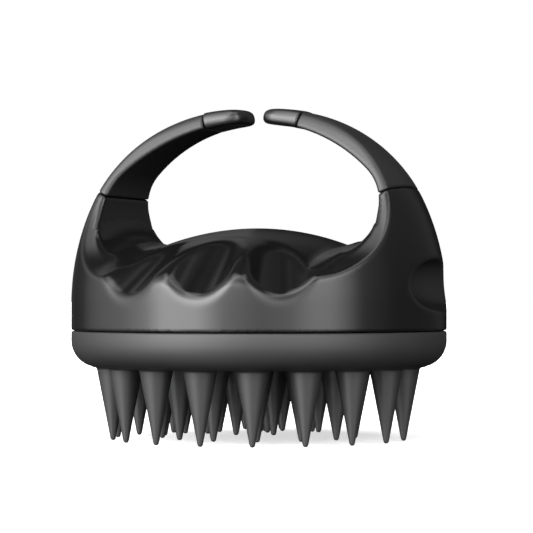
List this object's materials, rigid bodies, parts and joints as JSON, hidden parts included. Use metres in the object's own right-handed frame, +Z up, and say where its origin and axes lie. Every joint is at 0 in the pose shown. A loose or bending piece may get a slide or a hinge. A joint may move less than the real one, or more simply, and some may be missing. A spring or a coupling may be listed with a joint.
{
  "type": "scalp massager brush",
  "caption": "Egg-shaped scalp massager brush: hollow shell with two arms arching over a finger opening, finger scoops, and a pull-off silicone pad with rings of pointed teeth.",
  "frame": {"origin": "on the shell's axis, in the plane of the outer bristle tips that the brush stands on", "axes": "+Z up through the top of the arch, +X and -X towards the two horns, -Y and +Y towards the finger scoops"},
  "size_m": [0.08, 0.08, 0.07],
  "materials": {
    "shell_plastic": "gloss black moulded ABS",
    "arm_plastic": "satin black soft-touch plastic",
    "tip_plastic": "polished black plastic",
    "inner_plastic": "matte dark grey moulded plastic",
    "screw_steel": "zinc plated steel",
    "seal_rubber": "matte black rubber",
    "pad_silicone": "satin dark grey silicone"
  },
  "bodies": {
    "housing": {"body_shell": "shell_plastic", "handle_arm_right": "arm_plastic", "handle_arm_left": "arm_plastic", "tip_cap_right": "tip_plastic", "tip_cap_left": "tip_plastic", "carrier_plate": "inner_plastic", "plate_screws": "screw_steel", "seal_ring": "seal_rubber"},
    "pad": {"pad_cup": "pad_silicone", "outer_teeth": "pad_silicone", "second_teeth": "pad_silicone", "third_teeth": "pad_silicone", "centre_teeth": "pad_silicone"}
  },
  "joints": [
    {"name": "pad_pull_off", "type": "slide", "parent": "housing", "child": "pad", "axis": [0, 0, -1], "range_m": [0, 0.02]}
  ]
}
